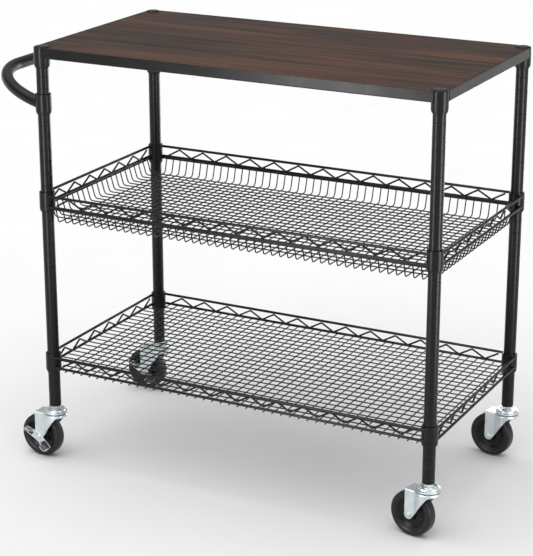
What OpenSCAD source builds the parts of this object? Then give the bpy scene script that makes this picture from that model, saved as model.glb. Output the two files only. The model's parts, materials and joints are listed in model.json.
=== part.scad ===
// Rolling utility cart: a laminate top board, a wire basket and a wire shelf on four grooved
// posts, with a push handle at one end and four swivel casters, two of them with brakes.
// The floor is z = 0, X runs along the long side, and the handle is at the -X end.

/* [Frame] */
// Distance between the post centres along the cart
post_span_x = 866; // [780:2:920]
// Distance between the post centres across the cart
post_span_y = 442; // [380:2:520]
// Outer diameter of each post
post_d = 25.4; // [25:0.1:26]
// Length of each post
post_len = 778; // [774:1:784]
// Distance between the locating grooves on a post
groove_pitch = 25.4; // [24:0.2:26]

/* [Levels] */
// Height of the top face of the board
top_z = 901; // [896:1:906]
// Height of the top of the handle collars
handle_z = 805; // [780:1:820]
// Height of the top of the basket collars
basket_z = 598; // [480:1:680]
// Height of the top of the lower shelf collars
shelf_z = 242; // [200:1:340]
// Depth from the basket's lower rim wire to its floor
basket_drop = 35; // [25:1:60]

/* [Wires] */
// Diameter of the rim wires
rim_wire_d = 5.8; // [5:0.1:6.4]
// Diameter of the zigzag wires
snake_wire_d = 4; // [3:0.1:4.4]
// Diameter of the deck wires
deck_wire_d = 2.7; // [2.2:0.1:3]
// Number of cross wires in the lower shelf
shelf_cross_count = 43; // [30:1:44]
// Number of long wires in the lower shelf
shelf_long_count = 21; // [15:1:22]
// Number of cross wires in the basket
basket_cross_count = 47; // [30:1:48]
// Number of long wires in the basket
basket_long_count = 21; // [15:1:22]
// Distance between two peaks of a zigzag wire
snake_period = 60; // [50:1:70]

/* [Handle] */
// Diameter of the handle tube
handle_d = 25; // [22:0.5:28]
// Reach of the handle from the post centres, along its slope
handle_reach = 160; // [150:1:180]
// Radius of the handle's two bends
handle_bend = 140; // [110:1:145]
// Upward slope of the handle
handle_tilt = 16; // [0:1:25]

/* [Casters] */
// Diameter of the wheels
wheel_d = 95; // [85:1:100]
// Width of the tread
tread_w = 24; // [20:1:26]
// Distance from the swivel axis back to the axle
caster_trail = 34; // [28:1:38]
// Height from the floor to the bottom of the posts
caster_h = 121; // [118:1:126]
// Angles at which the casters rest: front left, front right, rear left, rear right
caster_angles = [-1, -12, 0, -8];

/* [Hidden] */
$fn = 48;

steel_black = [0.08, 0.08, 0.085];
zinc = [0.72, 0.75, 0.78];
rubber_black = [0.05, 0.05, 0.05];
plastic_black = [0.1, 0.1, 0.1];
walnut = [0.24, 0.13, 0.09];

post_r = post_d / 2;
post_wall = 1.2;
groove_depth = 0.5;
first_groove = 9.4;
groove_count = floor((post_len - first_groove - 2) / groove_pitch) + 1;
half_x = post_span_x / 2;
half_y = post_span_y / 2;

// Collars are welded to the wire rims and wedge onto split sleeves
collar_r = 16.5;
collar_h = 37;
sleeve_gap = 0.05;
sleeve_top_r = 14;
sleeve_low_r = 15.2;
sleeve_peek = 6;
sleeve_slot = 1.6;

// The rim wires run outside the line between the posts
rim_r = rim_wire_d / 2;
snake_r = snake_wire_d / 2;
deck_r = deck_wire_d / 2;
rim_out = 13;
rim_top_drop = 7;
rim_low_drop = 29.5;
rim_end = sqrt(pow(collar_r, 2) - pow(rim_out - rim_r, 2)) + 0.05;
snake_out = rim_out - rim_r - snake_r - 0.1;
snake_end = 24;
inner_wire_r = 1.9;
inner_out = rim_out - 2.6;
inner_drop = 4.2;
inner_end = 22;
knuckle = 1.06;

// Top frame: an angle rail round the board
rail_h = 21;
rail_t = 2;
rail_out = 16;
rail_end = 7;
ledge_w = 16;
board_gap = 0.2;
board_t = rail_h - rail_t - 0.5;
screw_r = 1.8;
screw_len = 13;

// Caster pieces
wheel_r = wheel_d / 2;
core_r = wheel_r * 0.72;
axle_r = 4;
bush_r = 6;
fork_gap = 30;
fork_t = 2.5;
fork_foot_r = 9;
crown_r = 25;
crown_z = caster_h - 18;
crown_back = caster_trail + 9;
race_gap = 2.4;
race_r = 17;
ball_r = 2.4;
ball_count = 14;
stem_r = 6;
run_gap = 0.05;
brake_t = 1.6;
brake_y = fork_gap / 2 + fork_t + 0.3;
brake_tab = 14;
brake_hub_r = 9;
brake_angles = [158, 315];

axle_far = fork_gap / 2 + fork_t + 0.1;
nut_h = 4.5;
axle_tip = 1.5;

// Offsets that put the origin under the middle of the overall box
rear_reach = (axle_far + nut_h + axle_tip) * cos(caster_angles[3])
  - caster_trail * sin(caster_angles[3]);
shift_x = (handle_reach * cos(handle_tilt) + handle_d / 2 - crown_r) / 2;
shift_y = (brake_y + brake_tab - rear_reach) / 2;

function unit(v) = v / norm(v);
function groove_z(k) = caster_h + first_groove + k * groove_pitch;
function ridge_z(top) = groove_z(round((top - collar_h / 2 - groove_z(0)) / groove_pitch));
// Touch point on a circle of radius r at c, of the line from p
function touch(c, r, p, side) =
  let (v = p - c, turn = side * acos(r / norm(v)), a = atan2(v.y, v.x) + turn)
  c + r * [cos(a), sin(a)];

module on_deck() translate([shift_x, shift_y, 0]) children();

module at_post(sx, sy) on_deck() translate([sx * half_x, sy * half_y, 0]) children();

module at_posts(x_sides = [-1, 1]) {
  for (sx = x_sides, sy = [-1, 1])
    at_post(sx, sy) children();
}

// A straight round rod from p to q
module rod(p, q, r) {
  d = unit(q - p);
  e = unit(cross(abs(d.z) > 0.9 ? [1, 0, 0] : [0, 0, 1], d));
  f = cross(d, e);
  multmatrix([
    [e.x, f.x, d.x, p.x],
    [e.y, f.y, d.y, p.y],
    [e.z, f.z, d.z, p.z]
  ])
    cylinder(h = norm(q - p), r = r, $fn = 24);
}

// A wire along the given points, with a small knuckle at each bend
module wire(points, r) {
  last = len(points) - 1;
  for (i = [1 : last])
    rod(points[i - 1], points[i], r);
  for (i = [1 : last - 1])
    translate(points[i]) sphere(r = r * knuckle, $fn = 24);
}

// ---- Posts ----

module post() {
  groove = [[0, -0.6], [-groove_depth, -0.35], [-groove_depth, 0.35], [0, 0.6]];
  outside = [for (k = [0 : groove_count - 1], g = groove)
    [post_r + g.x, first_groove + k * groove_pitch + g.y]];
  color(steel_black)
    translate([0, 0, caster_h])
      rotate_extrude()
        polygon(concat(
          [[post_r - post_wall, 0], [post_r, 0]],
          outside,
          [[post_r, post_len], [post_r - post_wall, post_len]]
        ));
}

module post_front_left() at_post(-1, -1) post();
module post_front_right() at_post(1, -1) post();
module post_rear_left() at_post(-1, 1) post();
module post_rear_right() at_post(1, 1) post();

module post_caps() {
  cap_r = 13.8;
  plug_r = post_r - post_wall - 0.05;
  dome_h = 4.5;
  color(plastic_black)
    at_posts() translate([0, 0, caster_h + post_len]) rotate_extrude() polygon(concat(
      [[0, -12], [plug_r - 1, -12], [plug_r, -11], [plug_r, 0], [cap_r, 0], [cap_r, 1.5]],
      [for (a = [15 : 15 : 75])
        [cap_r - 3 + 3 * cos(a), 1.5 + (dome_h - 1.5) * sin(a)]],
      [[cap_r - 4, dome_h], [0, dome_h]]
    ));
}

module post_inserts() {
  insert_h = 30;
  color(plastic_black)
    at_posts() translate([0, 0, caster_h + 0.2]) difference() {
      cylinder(h = insert_h, r = post_r - post_wall - 0.05);
      translate([0, 0, -1]) cylinder(h = insert_h + 2, r = stem_r + run_gap);
    }
}

// ---- Collars and split sleeves ----

module collar(top) {
  color(steel_black)
    translate([0, 0, top])
      rotate_extrude()
        polygon([
          [sleeve_top_r + sleeve_gap, 0],
          [collar_r - 0.6, 0],
          [collar_r, -0.6],
          [collar_r, -collar_h],
          [sleeve_low_r + sleeve_gap, -collar_h]
        ]);
}

module sleeve(top) {
  bore_r = post_r + sleeve_gap;
  ridge = ridge_z(top) - top;
  foot = -collar_h - sleeve_peek;
  color(plastic_black)
    translate([0, 0, top]) difference() {
      rotate_extrude() polygon([
        [sleeve_top_r, 0],
        [sleeve_low_r, -collar_h],
        [sleeve_low_r + 0.5, -collar_h - 0.2],
        [sleeve_low_r + 0.5, foot + 3],
        [sleeve_top_r, foot + 2],
        [sleeve_top_r, foot],
        [bore_r, foot],
        [bore_r, ridge - 0.3],
        [bore_r - 0.35, ridge - 0.2],
        [bore_r - 0.35, ridge + 0.2],
        [bore_r, ridge + 0.3],
        [bore_r, 0]
      ]);
      translate([-collar_r, -sleeve_slot / 2, foot - 1])
        cube([2 * collar_r, sleeve_slot, collar_h + sleeve_peek + 2]);
    }
}

module top_collars() at_posts() collar(top_z + 0.5);

// The top sleeves stop below the brims of the post caps
module top_sleeves() at_posts() difference() {
  sleeve(top_z + 0.5);
  translate([0, 0, caster_h + post_len - 0.1]) cylinder(h = collar_h, r = collar_r);
}

module handle_collars() at_posts([-1]) collar(handle_z);
module handle_sleeves() at_posts([-1]) sleeve(handle_z);
module basket_collars() at_posts() collar(basket_z);
module basket_sleeves() at_posts() sleeve(basket_z);
module shelf_collars() at_posts() collar(shelf_z);
module shelf_sleeves() at_posts() sleeve(shelf_z);

// ---- Top ----

// One angle rail centred on the X axis, with its outer face at y = -out
module angle_rail(length, out) {
  translate([-length / 2, -out, top_z - rail_h]) cube([length, rail_t, rail_h]);
  translate([-length / 2, -out, top_z - rail_h]) cube([length, rail_t + ledge_w, rail_t]);
}

module collar_cuts() {
  for (sx = [-1, 1], sy = [-1, 1])
    translate([sx * half_x, sy * half_y, top_z - 100])
      cylinder(h = 200, r = collar_r);
}

module screw_spots() {
  ledge_mid = rail_out - rail_t - ledge_w / 2;
  for (sx = [-0.6, 0, 0.6], sy = [-1, 1])
    translate([sx * half_x, sy * (half_y + ledge_mid), top_z - rail_h]) children();
  for (sx = [-1, 1])
    translate([sx * (half_x + ledge_mid), 0, top_z - rail_h]) children();
}

module rail_pair(length, out, turn) {
  color(steel_black) on_deck() difference() {
    for (a = [turn, turn + 180])
      rotate(a) angle_rail(length, out);
    collar_cuts();
    screw_spots() translate([0, 0, -1]) cylinder(h = rail_t + 2, r = screw_r + 0.1, $fn = 24);
  }
}

module top_side_rails() rail_pair(2 * (half_x - rail_end), half_y + rail_out, 0);
module top_end_rails() rail_pair(2 * (half_y - rail_end), half_x + rail_out, 90);

module top_board() {
  edge = rail_out - rail_t - board_gap;
  color(walnut) on_deck() difference() {
    translate([-half_x - edge, -half_y - edge, top_z - board_t])
      cube([2 * (half_x + edge), 2 * (half_y + edge), board_t]);
    for (sx = [-1, 1], sy = [-1, 1]) {
      translate([sx * half_x, sy * half_y, top_z - board_t - 1])
        cylinder(h = board_t + 2, r = collar_r + 0.4);
      translate([sx * (half_x + collar_r), sy * (half_y + collar_r), top_z])
        cube([2 * collar_r, 2 * collar_r, 3 * board_t], center = true);
    }
    screw_spots() cylinder(h = screw_len, r = screw_r + 0.1, $fn = 24);
  }
}

module board_screws() {
  head_h = 1.8;
  color(zinc) on_deck() screw_spots() {
    translate([0, 0, -0.05 - head_h]) cylinder(h = head_h, r1 = 3, r2 = 4);
    translate([0, 0, -0.1]) cylinder(h = screw_len - 1, r = screw_r, $fn = 24);
  }
}

// ---- Handle ----

// The U shape of the handle in its own plane, as a solid of the given radius
module handle_path(r) {
  arm = handle_reach - handle_bend;
  for (s = [-1, 1]) {
    translate([0, s * half_y, 0]) rotate([0, -90, 0]) cylinder(h = arm, r = r);
    translate([-arm, s * (half_y - handle_bend), 0])
      mirror([0, s < 0 ? 1 : 0, 0])
        rotate(90)
          rotate_extrude(angle = 90, $fn = 96)
            translate([handle_bend, 0]) circle(r = r);
  }
  translate([-handle_reach, handle_bend - half_y, 0])
    rotate([-90, 0, 0]) cylinder(h = 2 * (half_y - handle_bend), r = r);
}

module handle_tube() {
  wall = 1.5;
  handle_drop = collar_r * tan(handle_tilt);
  color(steel_black) difference() {
    on_deck() translate([-half_x, 0, handle_z - collar_h / 2 - handle_drop])
      rotate([0, handle_tilt, 0]) difference() {
        handle_path(handle_d / 2);
        handle_path(handle_d / 2 - wall);
      }
    at_posts([-1]) translate([0, 0, handle_z - 100]) cylinder(h = 200, r = collar_r);
  }
}

// ---- Wire rims ----

// Two parallel rim wires along both long sides and both ends
module rim_wires(top) {
  for (drop = [rim_top_drop, rim_low_drop], s = [-1, 1]) {
    y = s * (half_y + rim_out);
    x = s * (half_x + rim_out);
    rod([rim_end - half_x, y, top - drop], [half_x - rim_end, y, top - drop], rim_r);
    rod([x, rim_end - half_y, top - drop], [x, half_y - rim_end, top - drop], rim_r);
  }
}

function snake_points(length, top) =
  let (half_steps = 2 * floor(length / snake_period) + 1, step = snake_period / 2)
  [for (i = [0 : half_steps])
    [(i - half_steps / 2) * step, top - (i % 2 == 0 ? rim_low_drop - 3 : rim_top_drop + 3)]];

module snake_wires(top) {
  side = snake_points(2 * (half_x - snake_end) - snake_period / 2, top);
  end = snake_points(2 * (half_y - snake_end) - snake_period / 2, top);
  color(steel_black) on_deck() for (s = [-1, 1]) {
    wire([for (p = side) [p.x, s * (half_y + snake_out), p.y]], snake_r);
    wire([for (p = end) [s * (half_x + snake_out), p.x, p.y]], snake_r);
  }
}

module shelf_rim_wires() color(steel_black) on_deck() rim_wires(shelf_z);
module shelf_snake_wires() snake_wires(shelf_z);
module basket_snake_wires() snake_wires(basket_z);

// The basket's rim has a thinner third wire that its floor wires hang from
module basket_rim_wires() {
  z = basket_z - rim_low_drop - inner_drop;
  color(steel_black) on_deck() {
    rim_wires(basket_z);
    for (s = [-1, 1]) {
      y = s * (half_y + inner_out);
      x = s * (half_x + inner_out);
      rod([inner_end - half_x, y, z], [half_x - inner_end, y, z], inner_wire_r);
      rod([x, inner_end - half_y, z], [x, half_y - inner_end, z], inner_wire_r);
    }
  }
}

// ---- Shelf deck ----

shelf_low_z = shelf_z - rim_low_drop;
shelf_cross_z = shelf_low_z - rim_r - deck_r - 0.05;
shelf_long_z = shelf_cross_z + deck_wire_d + 0.05;

module shelf_cross_wires() {
  pitch = post_span_x / (shelf_cross_count + 1);
  reach = half_y + rim_out + rim_r + 1.5;
  color(steel_black) on_deck() for (i = [1 : shelf_cross_count])
    rod([i * pitch - half_x, -reach, shelf_cross_z], [i * pitch - half_x, reach, shelf_cross_z],
      deck_r);
}

// The outermost long wires stop short of the collars
module shelf_long_wires() {
  pitch = post_span_y / (shelf_long_count + 0.05);
  color(steel_black) on_deck() for (i = [1 : shelf_long_count]) {
    y = (i - (shelf_long_count + 1) / 2) * pitch;
    meets_collar = abs(y) > half_y - collar_r - deck_r - 0.5;
    reach = half_x + (meets_collar ? -collar_r - 1 : rim_out - rim_r - 0.1);
    rod([-reach, y, shelf_long_z], [reach, y, shelf_long_z], deck_r);
  }
}

// ---- Basket ----

basket_rim_z = basket_z - rim_low_drop - inner_drop + 1;
basket_floor_z = basket_z - rim_low_drop - basket_drop;
basket_slope = 16;
basket_top_out = inner_out - inner_wire_r - deck_r - 0.1;

// A floor wire that hangs from the rim at both ends: half is half its span, lift its extra height
function basket_points(half, lift) =
  let (
    bend = 5,
    low_z = basket_floor_z + lift,
    top_out = half + basket_top_out,
    low_out = top_out - (basket_rim_z - low_z) * tan(basket_slope),
    mid_out = low_out + bend * tan(basket_slope)
  )
  [
    [-top_out, basket_rim_z],
    [-mid_out, low_z + bend],
    [bend - low_out, low_z],
    [low_out - bend, low_z],
    [mid_out, low_z + bend],
    [top_out, basket_rim_z]
  ];

module basket_cross_wires() {
  pitch = (post_span_x - 14) / (basket_cross_count + 1);
  color(steel_black) on_deck() for (i = [1 : basket_cross_count]) {
    x = (i - (basket_cross_count + 1) / 2) * pitch;
    wire([for (p = basket_points(half_y, 0)) [x, p.x, p.y]], deck_r);
  }
}

module basket_long_wires() {
  pitch = (post_span_y - 13) / (basket_long_count + 1);
  color(steel_black) on_deck() for (i = [1 : basket_long_count]) {
    y = (i - (basket_long_count + 1) / 2) * pitch;
    wire([for (p = basket_points(half_x, deck_wire_d + 0.1)) [p.x, y, p.y]], deck_r);
  }
}

// ---- Casters ----

// Stem, hex collar and lower head, fixed to the post
module caster_stems() {
  color(zinc) at_posts() {
    translate([0, 0, crown_z - fork_t - 1]) cylinder(h = caster_h + 28 - crown_z, r = stem_r);
    translate([0, 0, caster_h - 7.5]) cylinder(h = 7.4, r = 10, $fn = 6);
    translate([0, 0, crown_z - fork_t - 4.3]) cylinder(h = 4, r1 = 8, r2 = 10);
  }
}

module caster_race_caps() {
  cap_z = crown_z + race_gap;
  color(zinc) at_posts() difference() {
    rotate_extrude() polygon([
      [stem_r + run_gap, cap_z],
      [crown_r - 1, cap_z],
      [crown_r, cap_z + 1],
      [crown_r, cap_z + 3],
      [crown_r - 5, caster_h - 7.6],
      [stem_r + run_gap, caster_h - 7.6]
    ]);
    translate([0, 0, cap_z - race_gap / 2])
      rotate_extrude() translate([race_r, 0]) circle(r = ball_r + run_gap, $fn = 24);
  }
}

module fork() {
  side = fork_gap / 2 + fork_t;
  foot = [-caster_trail, wheel_r];
  front = [10, crown_z - fork_t];
  back = [-crown_back, crown_z - fork_t];
  color(zinc) difference() {
    union() {
      translate([0, 0, crown_z - fork_t]) cylinder(h = fork_t, r = crown_r);
      translate([-crown_back, -side, crown_z - fork_t])
        cube([crown_back + 10, 2 * side, fork_t]);
      for (y = [-side, side - fork_t])
        translate([0, y + fork_t, 0]) rotate([90, 0, 0]) linear_extrude(fork_t) {
          polygon([
            back,
            [-crown_back, crown_z],
            [10, crown_z],
            front,
            touch(foot, fork_foot_r, front, -1),
            foot,
            touch(foot, fork_foot_r, back, 1)
          ]);
          translate(foot) circle(r = fork_foot_r);
        }
    }
    cylinder(h = 2 * caster_h, r = stem_r + run_gap);
    translate([0, 0, crown_z + race_gap / 2])
      rotate_extrude() translate([race_r, 0]) circle(r = ball_r + run_gap, $fn = 24);
    translate([-caster_trail, 0, wheel_r]) rotate([90, 0, 0])
      cylinder(h = 4 * side, r = axle_r + run_gap, center = true);
  }
}

module balls() {
  color(zinc) for (i = [0 : ball_count - 1])
    rotate(i * 360 / ball_count)
      translate([race_r, 0, crown_z + race_gap / 2]) sphere(r = ball_r, $fn = 24);
}

module on_axle() translate([-caster_trail, 0, wheel_r]) rotate([90, 0, 0]) children();

// Axle bolt with a round head on the near side and a nut on the far side
module axle(braked) {
  near = braked ? brake_y + brake_t + 0.3 : axle_far;
  tip = axle_far + nut_h + axle_tip;
  color(zinc) on_axle() {
    translate([0, 0, -tip]) cylinder(h = tip + near, r = axle_r);
    translate([0, 0, near - 0.1]) cylinder(h = 3, r1 = 6.5, r2 = 4.5);
    translate([0, 0, -axle_far - nut_h]) cylinder(h = nut_h, r = 7, $fn = 6);
  }
}

module bush() {
  color(zinc) on_axle() difference() {
    cylinder(h = fork_gap - 0.6, r = bush_r, center = true);
    cylinder(h = fork_gap, r = axle_r + run_gap, center = true);
  }
}

module core() {
  hub_w = fork_gap - 3;
  rim_w = tread_w - 5;
  web_w = 7;
  color(plastic_black) on_axle()
    rotate_extrude() polygon([
      [bush_r, -hub_w / 2],
      [12, -hub_w / 2],
      [13, -web_w / 2],
      [core_r - 5, -web_w / 2],
      [core_r - 4, -rim_w / 2],
      [core_r, -rim_w / 2],
      [core_r, rim_w / 2],
      [core_r - 4, rim_w / 2],
      [core_r - 5, web_w / 2],
      [13, web_w / 2],
      [12, hub_w / 2],
      [bush_r, hub_w / 2]
    ]);
}

module tyre() {
  half_w = tread_w / 2;
  round_r = 5;
  color(rubber_black) on_axle() rotate_extrude($fn = 96) polygon(concat(
    [[core_r, -half_w + 1.5], [core_r + 1.5, -half_w]],
    [for (a = [0 : 15 : 90])
      [wheel_r - round_r + round_r * sin(a), round_r - half_w - round_r * cos(a)]],
    [for (a = [90 : -15 : 0])
      [wheel_r - round_r + round_r * sin(a), half_w - round_r + round_r * cos(a)]],
    [[core_r + 1.5, half_w], [core_r, half_w - 1.5]]
  ));
}

// Rocker plate on the near fork leg with two foot tabs, one to lock and one to free the wheel
module brake() {
  arm_len = 36;
  arm_w = 14;
  lip_h = 8;
  tab_len = 17.5;
  tab_end = arm_len - brake_t + 0.1;
  color(zinc) on_axle() translate([0, 0, brake_y]) difference() {
    union() {
      cylinder(h = brake_t, r = brake_hub_r);
      for (a = brake_angles) rotate(a) translate([0, -arm_w / 2, 0]) {
        cube([arm_len, arm_w, brake_t]);
        translate([arm_len - brake_t, 0, 0]) cube([brake_t, arm_w, lip_h]);
        translate([tab_end - tab_len, 0, 0]) cube([tab_len, brake_t, brake_tab]);
      }
    }
    translate([0, 0, -1]) cylinder(h = brake_t + 2, r = axle_r + run_gap);
  }
}

// Each corner is [x side, y side, angle]
corner_fl = [-1, -1, caster_angles[0]];
corner_fr = [1, -1, caster_angles[1]];
corner_rl = [-1, 1, caster_angles[2]];
corner_rr = [1, 1, caster_angles[3]];

module at_corner(c) at_post(c[0], c[1]) rotate(c[2]) children();

module fork_front_left() at_corner(corner_fl) fork();
module balls_front_left() at_corner(corner_fl) balls();
module axle_front_left() at_corner(corner_fl) axle(true);
module brake_front_left() at_corner(corner_fl) brake();
module tyre_front_left() at_corner(corner_fl) tyre();
module core_front_left() at_corner(corner_fl) core();
module bush_front_left() at_corner(corner_fl) bush();
module fork_front_right() at_corner(corner_fr) fork();
module balls_front_right() at_corner(corner_fr) balls();
module axle_front_right() at_corner(corner_fr) axle(false);
module tyre_front_right() at_corner(corner_fr) tyre();
module core_front_right() at_corner(corner_fr) core();
module bush_front_right() at_corner(corner_fr) bush();
module fork_rear_left() at_corner(corner_rl) fork();
module balls_rear_left() at_corner(corner_rl) balls();
module axle_rear_left() at_corner(corner_rl) axle(true);
module brake_rear_left() at_corner(corner_rl) brake();
module tyre_rear_left() at_corner(corner_rl) tyre();
module core_rear_left() at_corner(corner_rl) core();
module bush_rear_left() at_corner(corner_rl) bush();
module fork_rear_right() at_corner(corner_rr) fork();
module balls_rear_right() at_corner(corner_rr) balls();
module axle_rear_right() at_corner(corner_rr) axle(false);
module tyre_rear_right() at_corner(corner_rr) tyre();
module core_rear_right() at_corner(corner_rr) core();
module bush_rear_right() at_corner(corner_rr) bush();

post_front_left();
post_front_right();
post_rear_left();
post_rear_right();
post_caps();
post_inserts();
top_collars();
top_side_rails();
top_end_rails();
top_board();
board_screws();
top_sleeves();
handle_tube();
handle_collars();
handle_sleeves();
basket_collars();
basket_rim_wires();
basket_snake_wires();
basket_cross_wires();
basket_long_wires();
basket_sleeves();
shelf_collars();
shelf_rim_wires();
shelf_snake_wires();
shelf_cross_wires();
shelf_long_wires();
shelf_sleeves();
caster_stems();
caster_race_caps();
fork_front_left();
balls_front_left();
axle_front_left();
brake_front_left();
tyre_front_left();
core_front_left();
bush_front_left();
fork_front_right();
balls_front_right();
axle_front_right();
tyre_front_right();
core_front_right();
bush_front_right();
fork_rear_left();
balls_rear_left();
axle_rear_left();
brake_rear_left();
tyre_rear_left();
core_rear_left();
bush_rear_left();
fork_rear_right();
balls_rear_right();
axle_rear_right();
tyre_rear_right();
core_rear_right();
bush_rear_right();
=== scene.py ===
"""Looks of a rolling utility cart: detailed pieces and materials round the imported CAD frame.

Lengths are metres. Every place and most sizes come from the frame: the boxes of the CAD nodes,
the vertices of the wire nodes, and the joints of the casters.
"""

import json
import math

import bmesh
import bpy
from mathutils import Matrix, Vector


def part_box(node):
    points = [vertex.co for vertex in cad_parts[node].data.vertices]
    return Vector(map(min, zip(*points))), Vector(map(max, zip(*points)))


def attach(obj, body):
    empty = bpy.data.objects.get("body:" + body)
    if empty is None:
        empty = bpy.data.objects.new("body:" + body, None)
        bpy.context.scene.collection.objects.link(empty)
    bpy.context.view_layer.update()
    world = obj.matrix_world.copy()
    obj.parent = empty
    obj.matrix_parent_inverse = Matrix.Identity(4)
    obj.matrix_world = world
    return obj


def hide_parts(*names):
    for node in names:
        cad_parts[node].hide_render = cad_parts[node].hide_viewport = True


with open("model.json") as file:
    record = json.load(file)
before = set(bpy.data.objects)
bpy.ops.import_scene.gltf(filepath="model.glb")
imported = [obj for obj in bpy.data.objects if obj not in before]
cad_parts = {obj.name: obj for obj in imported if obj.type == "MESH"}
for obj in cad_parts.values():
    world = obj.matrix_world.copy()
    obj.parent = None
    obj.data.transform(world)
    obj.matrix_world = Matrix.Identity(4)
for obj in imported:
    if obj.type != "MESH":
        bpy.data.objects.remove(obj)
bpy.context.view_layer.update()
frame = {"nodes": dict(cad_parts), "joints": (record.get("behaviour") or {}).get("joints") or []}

MM = 0.001
TAU = 2 * math.pi
CORNERS = ("front_left", "front_right", "rear_left", "rear_right")
BRAKED = ("front_left", "rear_left")
JOINTS = {joint["name"]: joint for joint in frame["joints"]}


# ---- Measures of the frame ----

BOXES = {node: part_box(node) for node in frame["nodes"]}


def low(node):
    return BOXES[node][0]


def high(node):
    return BOXES[node][1]


def middle(node):
    return (low(node) + high(node)) / 2


def extent(node):
    return high(node) - low(node)


def row_centres(node, axis):
    """Centres along one axis of the parallel wires in a CAD node."""
    values = sorted(v.co[axis] for v in frame["nodes"][node].data.vertices)
    rows = [[values[0], values[0]]]
    for value in values:
        if value - rows[-1][1] > DECK_R * 3:
            rows.append([value, value])
        rows[-1][1] = value
    return [(first + last) / 2 for first, last in rows]


POSTS = {corner: middle(f"post_{corner}") for corner in CORNERS}
MID = sum(POSTS.values(), Vector()) / len(POSTS)
HALF_X = (POSTS["front_right"].x - POSTS["front_left"].x) / 2
HALF_Y = (POSTS["rear_left"].y - POSTS["front_left"].y) / 2
POST_R = extent("post_front_left").x / 2
POST_BASE = low("post_front_left").z
POST_TOP = high("post_front_left").z
POST_WALL = 1.2 * MM
GROOVE_FIRST = 9.4 * MM
GROOVE_PITCH = 25.4 * MM
GROOVE_DEPTH = 0.5 * MM
# One groove as (height from its middle, share of the depth)
GROOVE_SHAPE = ((-0.8 * MM, 0), (-0.55 * MM, 0.3), (-0.2 * MM, 1),
                (0.2 * MM, 1), (0.55 * MM, 0.3), (0.8 * MM, 0))

COLLAR_R = extent("basket_collars").x / 2 - HALF_X
COLLAR_H = extent("basket_collars").z
COLLAR_BORE = 14.05 * MM
SLEEVE_LOW_R = 15.2 * MM
SLEEVE_SLOT = 1.6 * MM

WIRE_SIDES = 10
RIM_R = 2.9 * MM
SNAKE_R = 2 * MM
INNER_R = 1.9 * MM
DECK_R = extent("shelf_cross_wires").z / 2
RIM_OUT = extent("shelf_rim_wires").y / 2 - HALF_Y - RIM_R
SNAKE_OUT = extent("shelf_snake_wires").y / 2 - HALF_Y - SNAKE_R
INNER_OUT = RIM_OUT - 2.6 * MM
SNAKE_STEP = 30 * MM
SNAKE_END = 24 * MM
RIM_END = 6 * MM
RIM_DROP = 29.5 * MM
INNER_END = 12 * MM

RAIL_OUT = extent("top_side_rails").y / 2 - HALF_Y
RAIL_END = HALF_X - extent("top_side_rails").x / 2
RAIL_T = 2 * MM
LEDGE_W = 18 * MM
RAIL_BASE = low("top_side_rails").z
TOP_Z = high("top_side_rails").z


# ---- Solids: each is a list of points and a list of faces ----

def merged(*solids):
    """Several solids as one."""
    points, faces = [], []
    for own_points, own_faces in solids:
        start = len(points)
        points += own_points
        faces += [[start + i for i in face] for face in own_faces]
    return points, faces


def placed(solid, matrix):
    """A solid moved by a matrix."""
    points, faces = solid
    return [matrix @ point for point in points], faces


def at(x, y, z=0.0, turn=0.0):
    """The matrix that puts something at a place, turned about the upright axis."""
    return Matrix.Translation((x, y, z)) @ Matrix.Rotation(turn, 4, "Z")


def skin(rings, closed=True, caps=True):
    """Faces between rings of equally many points, with the first and last ring filled."""
    count = len(rings[0])
    points = [point for ring in rings for point in ring]
    faces = []
    for k in range(len(rings) - 1):
        for i in range(count if closed else count - 1):
            here, there = k * count, (k + 1) * count
            j = (i + 1) % count
            faces.append([here + i, here + j, there + j, there + i])
    if caps:
        last = (len(rings) - 1) * count
        faces += [list(range(count)), list(range(last, last + count))]
    return points, faces


def lathe(profile, segments=64, start=0.0, sweep=TAU):
    """A closed outline of (radius, height) points turned about the Z axis."""
    whole = sweep == TAU
    angles = [start + sweep * k / segments for k in range(segments + (not whole))]
    rings = [[Vector((r * math.cos(a), r * math.sin(a), z)) for r, z in profile] for a in angles]
    if whole:
        rings.append(rings[0])
    return skin(rings, caps=not whole)


def rounded(corners, radius, closed=False, steps=5):
    """The line through the corners with each one rounded. radius is one number or one per corner.

    Neighbouring bends share the straight between them, and a bend next to an open end may use
    nearly all of it."""
    path = []
    whole, half = 0.98, 0.49
    count = len(corners)
    radii = radius if isinstance(radius, (list, tuple)) else [radius] * count
    for i, corner in enumerate(corners):
        to_last = corners[i - 1] - corner
        to_next = corners[(i + 1) % count] - corner
        is_end = not closed and i in (0, count - 1)
        turn = 0 if is_end else math.pi - to_last.angle(to_next)
        if turn < 0.01 or radii[i] == 0:
            path.append(corner)
            continue
        room_back = to_last.length * (whole if not closed and i == 1 else half)
        room_on = to_next.length * (whole if not closed and i == count - 2 else half)
        cut = min(radii[i] * math.tan(turn / 2), room_back, room_on)
        to_last.normalize()
        to_next.normalize()
        bend = cut / math.tan(turn / 2)
        centre = corner + (to_last + to_next).normalized() * bend / math.cos(turn / 2)
        first = corner + to_last * cut - centre
        final = corner + to_next * cut - centre
        for step in range(steps + 1):
            done = step / steps
            part = math.sin((1 - done) * turn) * first + math.sin(done * turn) * final
            path.append(centre + part / math.sin(turn))
    return path


def flat_points(*pairs):
    """2D points from pairs of numbers."""
    return [Vector(pair) for pair in pairs]


def profile_of(corners, radius, steps=4):
    """A closed (radius, height) outline with rounded corners, for lathe()."""
    return [tuple(p) for p in rounded(flat_points(*corners), radius, closed=True, steps=steps)]


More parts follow.
